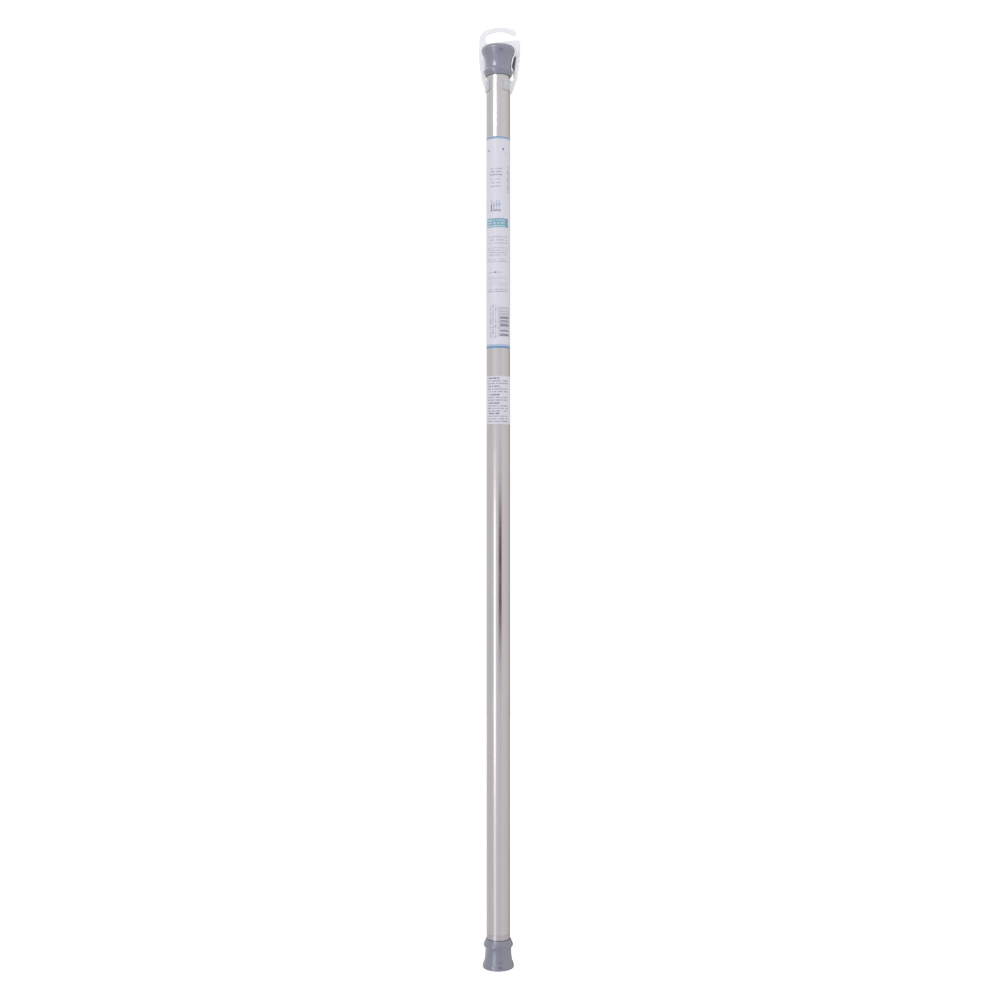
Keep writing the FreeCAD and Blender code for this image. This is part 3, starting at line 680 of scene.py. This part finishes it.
def spring():
    """The drive spring, ground flat just clear of the bush and the seat."""
    bottom = low("compression_spring")
    top = high("compression_spring")
    bm = coiled_wire(radius_of("compression_spring") - WIRE_RADIUS, bottom, top)
    grind_flat(bm, bottom + SPRING_AIR, -1)
    grind_flat(bm, top - SPRING_AIR, 1)
    piece = piece_from(bm, "drive_spring")
    steel = bare_metal("spring_steel", (0.50, 0.50, 0.51), (0.36, 0.36, 0.37), 0.30)
    place(piece, INNER_BODY, "spring_steel", steel, "compression_spring")
    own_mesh(piece)


# ---------------------------------------------------------------- paper pieces and carried-over nodes

def paint(material, *nodes):
    """Gives frame nodes a finish in place."""
    for node in nodes:
        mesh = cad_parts[node].data
        mesh.materials.clear()
        mesh.materials.append(material)


def papers():
    paint(label_print(), "product_label")
    paint(sticker_print(), "info_sticker")


def small_parts():
    ferrule = drawn_steel("ferrule_steel", (0.60, 0.575, 0.61), (0.48, 0.46, 0.49), 0.16, 0.24)
    nylon = moulded_plastic("white_nylon", (0.70, 0.70, 0.74), (0.60, 0.60, 0.64), 0.38, 0.03 * MM)
    bush = moulded_plastic("bush_nylon", (0.74, 0.71, 0.62), (0.66, 0.63, 0.55), 0.42, 0.04 * MM)
    plug = moulded_plastic("plug_plastic", (0.06, 0.06, 0.066), (0.035, 0.035, 0.04), 0.50, 0.05 * MM, 0.15)
    grip = moulded_plastic("cam_rubber", (0.055, 0.055, 0.058), (0.030, 0.030, 0.032), 0.66, 0.06 * MM, 0.2)
    zinc = bare_metal("zinc_steel", (0.70, 0.70, 0.66), (0.52, 0.53, 0.50), 0.30)
    rod = bare_metal("rod_steel", (0.60, 0.60, 0.61), (0.48, 0.48, 0.49), 0.26, 300.0)
    rivet = bare_metal("rivet_aluminium", (0.78, 0.78, 0.79), (0.66, 0.66, 0.67), 0.34)
    paint(ferrule, "tube_ferrule")
    paint(nylon, "guide_ring")
    paint(bush, "spring_bush", "cam_journal")
    paint(plug, "upper_tube_plug", "lower_tube_plug")
    paint(grip, "cam_ring")
    paint(zinc, "spring_seat", "rod_washer", "rod_nut", "cam_end_plate", "cam_screw")
    paint(rod, "plunger_rod")
    paint(rivet, "bush_rivets")


# ---------------------------------------------------------------- studio

CAMERA_DISTANCE = 1.6622
CAMERA_HEIGHT = 0.5586
CAMERA_ASIDE = 0.00205
LENS = 50.0
SENSOR_WIDTH = 36.0
LIGHT_DISTANCE = 1.8
KEY_AZIMUTH = math.radians(-34.5)
BOX_WIDTH = 0.60
# Name, height of the middle, height of the panel, radiance, and whether it lights matt surfaces
SOFT_BOXES = (
    ("tall_strip", 0.50, 2.0, 0.90, False),
    ("upper_box", 2.0, 1.0, 3.2, False),
    ("lower_box", -1.0, 0.9, 0.35, False),
    ("fill_box", 1.2, 1.2, 1.0, True),
)
CARD_AZIMUTH = math.radians(18.5)
CARD_DISTANCE = 1.5
CARD_HEIGHT = 0.325
CARD_SHAPE = (0.78, 0.44, 1.0)
CARD_RED = (0.17, 0.0, 0.016)
FLOOR_DROP = 0.95
FLOOR_REACH = 8.0


def studio_camera():
    data = bpy.data.cameras.new("studio_camera")
    data.lens = LENS
    data.sensor_width = SENSOR_WIDTH
    camera = bpy.data.objects.new("studio_camera", data)
    camera.location = (CAMERA_ASIDE, -CAMERA_DISTANCE, CAMERA_HEIGHT)
    camera.rotation_euler = (math.pi / 2, 0.0, 0.0)
    bpy.context.collection.objects.link(camera)
    bpy.context.scene.camera = camera


def spot(azimuth, distance, height):
    """A place round the bar: azimuth 0 is in front and positive to the right."""
    return Vector((math.sin(azimuth) * distance, -math.cos(azimuth) * distance, height))


def soft_box(name, height, tall, radiance, diffuse):
    """An area light that faces the bar's axis, level. It lights either gloss alone or matt surfaces alone."""
    data = bpy.data.lights.new(name, "AREA")
    data.shape = "RECTANGLE"
    data.size = BOX_WIDTH
    data.size_y = tall
    data.energy = radiance * 4 * BOX_WIDTH * tall
    light = bpy.data.objects.new(name, data)
    light.location = spot(KEY_AZIMUTH, LIGHT_DISTANCE, height)
    inwards = -spot(KEY_AZIMUTH, 1.0, 0.0)
    light.rotation_euler = inwards.to_track_quat("-Z", "Y").to_euler()
    light.visible_camera = False
    light.visible_diffuse = diffuse
    light.visible_glossy = not diffuse
    light.visible_transmission = not diffuse
    bpy.context.collection.objects.link(light)


def dark_card():
    """A dark red card beside the camera that shows only as a streak on the steel."""
    bm = bmesh.new()
    bmesh.ops.create_grid(bm, x_segments=1, y_segments=1, size=0.5)
    bmesh.ops.scale(bm, verts=bm.verts, vec=CARD_SHAPE)
    bmesh.ops.rotate(bm, verts=bm.verts, cent=(0, 0, 0), matrix=Matrix.Rotation(math.pi / 2, 3, "X"))
    bmesh.ops.rotate(bm, verts=bm.verts, cent=(0, 0, 0), matrix=Matrix.Rotation(CARD_AZIMUTH, 3, "Z"))
    bmesh.ops.translate(bm, verts=bm.verts, vec=spot(CARD_AZIMUTH, CARD_DISTANCE, CARD_HEIGHT))
    card = piece_from(bm, "dark_card")
    card.visible_camera = False
    card.visible_diffuse = False
    card.visible_shadow = False
    finish = Finish("card_cloth")
    finish.set(Base_Color=CARD_RED, Roughness=0.9)
    card.data.materials.append(finish.material)


def pale_floor():
    """A floor that lies under the lower foot even when the bar is drawn right out."""
    bm = bmesh.new()
    bmesh.ops.create_grid(bm, x_segments=1, y_segments=1, size=FLOOR_REACH)
    bmesh.ops.translate(bm, verts=bm.verts, vec=(0, 0, -FLOOR_DROP))
    floor = piece_from(bm, "pale_floor")
    floor.visible_glossy = False
    floor.visible_diffuse = False
    floor.visible_transmission = False
    floor.visible_shadow = False
    finish = Finish("floor_paint")
    finish.set(
        Base_Color=finish.mix(finish.grain(3.0), (0.86, 0.86, 0.86), (0.90, 0.90, 0.90)),
        Roughness=0.9,
        Emission_Color=(1.0, 1.0, 1.0),
        Emission_Strength=0.45,
    )
    floor.data.materials.append(finish.material)


# The room's colour by azimuth in degrees from the front: even in front, dimmer behind on the right
ROOM_COLOURS = (
    (-180.0, (0.58, 0.57, 0.58)),
    (-140.0, (0.80, 0.79, 0.80)),
    (-80.0, (0.78, 0.75, 0.75)),
    (-40.0, (0.84, 0.83, 0.86)),
    (0.0, (0.84, 0.83, 0.87)),
    (15.0, (0.80, 0.78, 0.82)),
    (45.0, (0.90, 0.86, 0.86)),
    (90.0, (0.82, 0.79, 0.77)),
    (125.0, (0.72, 0.70, 0.68)),
    (143.0, (0.30, 0.29, 0.28)),
    (160.0, (0.36, 0.35, 0.35)),
    (180.0, (0.58, 0.57, 0.58)),
)
ROOM_BELOW = 0.86
ROOM_ABOVE = 1.08
BACKDROP = 1.02


class Room:
    """The world's nodes, added and linked in order."""

    def __init__(self):
        world = bpy.data.worlds.new("white_room")
        bpy.context.scene.world = world
        world.use_nodes = True
        self.tree = world.node_tree
        self.tree.nodes.clear()

    def node(self, kind, *feeds, **settings):
        """A node with its first inputs linked to sockets or set to plain values."""
        new = self.tree.nodes.new(kind)
        for key, value in settings.items():
            setattr(new, key, value)
        for socket, value in zip(new.inputs, feeds):
            if isinstance(value, bpy.types.NodeSocket):
                self.tree.links.new(value, socket)
            else:
                socket.default_value = value
        return new

    def span(self, value, lowest, highest, start=0.0, end=1.0):
        """Maps a value between two limits to another span."""
        return self.node("ShaderNodeMapRange", value, lowest, highest, start, end).outputs[0]

    def colours(self, share):
        """The room's colours along a share from 0 to 1."""
        ramp = self.node("ShaderNodeValToRGB", share)
        elements = ramp.color_ramp.elements
        elements.remove(elements[1])
        elements[0].position = 0.0
        elements[0].color = (*ROOM_COLOURS[0][1], 1.0)
        for degrees, colour in ROOM_COLOURS[1:]:
            elements.new((degrees + 180.0) / 360.0).color = (*colour, 1.0)
        return ramp.outputs[0]


def white_room():
    """A white backdrop for the camera and a soft room, dimmer behind the bar, for everything else."""
    room = Room()
    direction = room.node("ShaderNodeTexCoord").outputs["Generated"]
    parts = room.node("ShaderNodeSeparateXYZ", direction).outputs
    backwards = room.node("ShaderNodeMath", parts["Y"], -1.0, operation="MULTIPLY").outputs[0]
    angle = room.node("ShaderNodeMath", parts["X"], backwards, operation="ARCTAN2").outputs[0]
    colour = room.colours(room.span(angle, -math.pi, math.pi))
    strength = room.span(parts["Z"], -1.0, 1.0, ROOM_BELOW, ROOM_ABOVE)
    soft = room.node("ShaderNodeBackground", colour, strength).outputs[0]
    white = room.node("ShaderNodeBackground", (1.0, 1.0, 1.0, 1.0), BACKDROP).outputs[0]
    seen = room.node("ShaderNodeLightPath").outputs["Is Camera Ray"]
    chosen = room.node("ShaderNodeMixShader", seen, soft, white).outputs[0]
    room.node("ShaderNodeOutputWorld", chosen)


def studio():
    bpy.context.scene.view_settings.view_transform = "Standard"
    studio_camera()
    white_room()
    pale_floor()
    dark_card()
    for soft_box_values in SOFT_BOXES:
        soft_box(*soft_box_values)


outer_tube()
inner_tube()
lower_cap()
upper_cap()
hanger()
spring()
papers()
small_parts()
studio()
